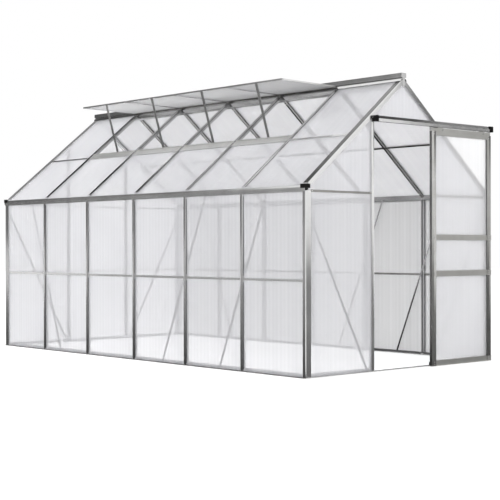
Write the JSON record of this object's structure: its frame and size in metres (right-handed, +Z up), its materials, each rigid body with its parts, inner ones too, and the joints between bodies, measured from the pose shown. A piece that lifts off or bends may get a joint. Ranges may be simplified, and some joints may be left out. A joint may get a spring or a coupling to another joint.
{
  "type": "glass greenhouse",
  "caption": "Gable greenhouse with a silver aluminium frame, translucent twin-wall glazing, open roof vents and a sliding door hung from a track.",
  "frame": {"origin": "on the ground under the middle of the house, within 16 mm of the middle of its outline", "axes": "+X to the right seen from the door, +Y from the door gable to the back gable, +Z up"},
  "size_m": [1.9339, 3.7081, 2.0515],
  "materials": {
    "frame": "mill, satin",
    "door_frame": "mill, satin",
    "flat_bar": "mill, satin",
    "glazing": "translucent twin-wall sheet",
    "black_plastic": "moulded, satin"
  },
  "bodies": {
    "house": {"back_gable_braces": "flat_bar", "back_gable_panels": "glazing", "back_gable_posts": "frame", "back_gable_rafters": "frame", "back_gable_rails": "frame", "back_sill": "frame", "corner_posts": "frame", "door_lintel": "frame", "door_posts": "frame", "door_threshold": "frame", "door_track": "frame", "eave_corner_caps": "black_plastic", "front_gable_braces": "flat_bar", "front_gable_panels": "glazing", "front_gable_rafters": "frame", "front_gable_rails": "frame", "front_sills": "frame", "left_eave_rail": "frame", "left_mid_rails": "frame", "left_rafters": "frame", "left_roof_bars": "frame", "left_roof_panels": "glazing", "left_sill": "frame", "left_wall_braces": "flat_bar", "left_wall_panels": "glazing", "left_wall_posts": "frame", "ridge_beam": "frame", "ridge_end_plates": "frame", "right_eave_rail": "frame", "right_mid_rails": "frame", "right_rafters": "frame", "right_roof_bars": "frame", "right_roof_panels": "glazing", "right_sill": "frame", "right_wall_braces": "flat_bar", "right_wall_panels": "glazing", "right_wall_posts": "frame", "track_end_caps": "black_plastic", "vent_edge_bars": "frame", "vent_hinge_bars": "frame", "vent_panels": "glazing", "vent_side_bars": "frame", "vent_sills": "frame", "vent_stays": "flat_bar"},
    "door": {"door_stiles": "door_frame", "door_rails": "door_frame", "door_panels": "glazing", "door_carrier": "door_frame", "roller_hangers": "door_frame", "door_rollers": "black_plastic"}
  },
  "joints": [
    {"name": "door_slide", "type": "slide", "parent": "house", "child": "door", "axis": [-1, 0, 0], "range_m": [0, 0.60605]}
  ]
}
